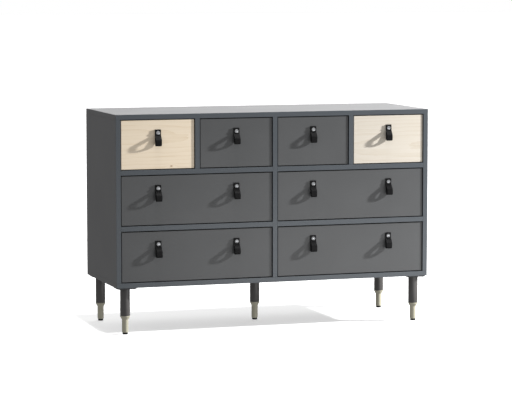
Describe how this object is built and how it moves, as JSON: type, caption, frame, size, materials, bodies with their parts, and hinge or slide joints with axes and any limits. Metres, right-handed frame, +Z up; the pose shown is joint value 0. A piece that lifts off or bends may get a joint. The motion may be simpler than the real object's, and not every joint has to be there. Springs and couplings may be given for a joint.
{
  "type": "dresser with drawers",
  "caption": "Dresser with three rows of inset drawers, dark grey boards, two pale wood fronts, looped leather pulls and turned two-tone legs.",
  "frame": {"origin": "on the floor, at the centre of the outer box of the closed dresser, pulls included", "axes": "+X along the width to the viewer's right, the drawers open towards -Y, +Z up"},
  "size_m": [1.2, 0.457, 0.797],
  "materials": {
    "graphite_board": "satin dark bluish grey melamine on particle board, with edge band",
    "graphite_front": "satin dark grey melamine on particle board",
    "pale_wood": "matt pale wood veneer, grain across the width",
    "drawer_board": "matt mid grey melamine",
    "backboard": "matt grey hardboard",
    "dowel_wood": "plain beech",
    "zinc_steel": "zinc plated",
    "bright_steel": "nickel plated",
    "nylon": "plain white nylon",
    "leg_coating": "satin dark grey lacquer",
    "cream_coating": "satin cream lacquer",
    "glide_plastic": "black plastic",
    "strap_leather": "smooth black leather"
  },
  "bodies": {
    "carcass": {"top_panel": "graphite_board", "bottom_panel": "graphite_board", "left_side": "graphite_board", "right_side": "graphite_board", "centre_divider": "graphite_board", "upper_left_shelf": "graphite_board", "upper_right_shelf": "graphite_board", "lower_left_shelf": "graphite_board", "lower_right_shelf": "graphite_board", "left_bay_divider": "graphite_board", "right_bay_divider": "graphite_board", "back_panel": "backboard", "panel_dowels": "dowel_wood", "runner_channels": "zinc_steel", "channel_pads": "nylon", "carcass_screws": "zinc_steel", "leg_plates": "leg_coating", "leg_posts": "leg_coating", "leg_tips": "cream_coating", "leg_glides": "glide_plastic"},
    "top_outer_left_drawer": {"top_outer_left_front": "pale_wood", "top_outer_left_box": "drawer_board", "top_outer_left_bottom": "drawer_board", "top_outer_left_pulls": "strap_leather", "top_outer_left_fittings": "bright_steel"},
    "top_inner_left_drawer": {"top_inner_left_front": "graphite_front", "top_inner_left_box": "drawer_board", "top_inner_left_bottom": "drawer_board", "top_inner_left_pulls": "strap_leather", "top_inner_left_fittings": "bright_steel"},
    "top_inner_right_drawer": {"top_inner_right_front": "graphite_front", "top_inner_right_box": "drawer_board", "top_inner_right_bottom": "drawer_board", "top_inner_right_pulls": "strap_leather", "top_inner_right_fittings": "bright_steel"},
    "top_outer_right_drawer": {"top_outer_right_front": "pale_wood", "top_outer_right_box": "drawer_board", "top_outer_right_bottom": "drawer_board", "top_outer_right_pulls": "strap_leather", "top_outer_right_fittings": "bright_steel"},
    "middle_left_drawer": {"middle_left_front": "graphite_front", "middle_left_box": "drawer_board", "middle_left_bottom": "drawer_board", "middle_left_pulls": "strap_leather", "middle_left_fittings": "bright_steel"},
    "middle_right_drawer": {"middle_right_front": "graphite_front", "middle_right_box": "drawer_board", "middle_right_bottom": "drawer_board", "middle_right_pulls": "strap_leather", "middle_right_fittings": "bright_steel"},
    "bottom_left_drawer": {"bottom_left_front": "graphite_front", "bottom_left_box": "drawer_board", "bottom_left_bottom": "drawer_board", "bottom_left_pulls": "strap_leather", "bottom_left_fittings": "bright_steel"},
    "bottom_right_drawer": {"bottom_right_front": "graphite_front", "bottom_right_box": "drawer_board", "bottom_right_bottom": "drawer_board", "bottom_right_pulls": "strap_leather", "bottom_right_fittings": "bright_steel"}
  },
  "joints": [
    {"name": "top_outer_left_slide", "type": "slide", "parent": "carcass", "child": "top_outer_left_drawer", "axis": [0, -1, 0], "range_m": [0, 0.3]},
    {"name": "top_inner_left_slide", "type": "slide", "parent": "carcass", "child": "top_inner_left_drawer", "axis": [0, -1, 0], "range_m": [0, 0.3]},
    {"name": "top_inner_right_slide", "type": "slide", "parent": "carcass", "child": "top_inner_right_drawer", "axis": [0, -1, 0], "range_m": [0, 0.3]},
    {"name": "top_outer_right_slide", "type": "slide", "parent": "carcass", "child": "top_outer_right_drawer", "axis": [0, -1, 0], "range_m": [0, 0.3]},
    {"name": "middle_left_slide", "type": "slide", "parent": "carcass", "child": "middle_left_drawer", "axis": [0, -1, 0], "range_m": [0, 0.3]},
    {"name": "middle_right_slide", "type": "slide", "parent": "carcass", "child": "middle_right_drawer", "axis": [0, -1, 0], "range_m": [0, 0.3]},
    {"name": "bottom_left_slide", "type": "slide", "parent": "carcass", "child": "bottom_left_drawer", "axis": [0, -1, 0], "range_m": [0, 0.3]},
    {"name": "bottom_right_slide", "type": "slide", "parent": "carcass", "child": "bottom_right_drawer", "axis": [0, -1, 0], "range_m": [0, 0.3]}
  ]
}
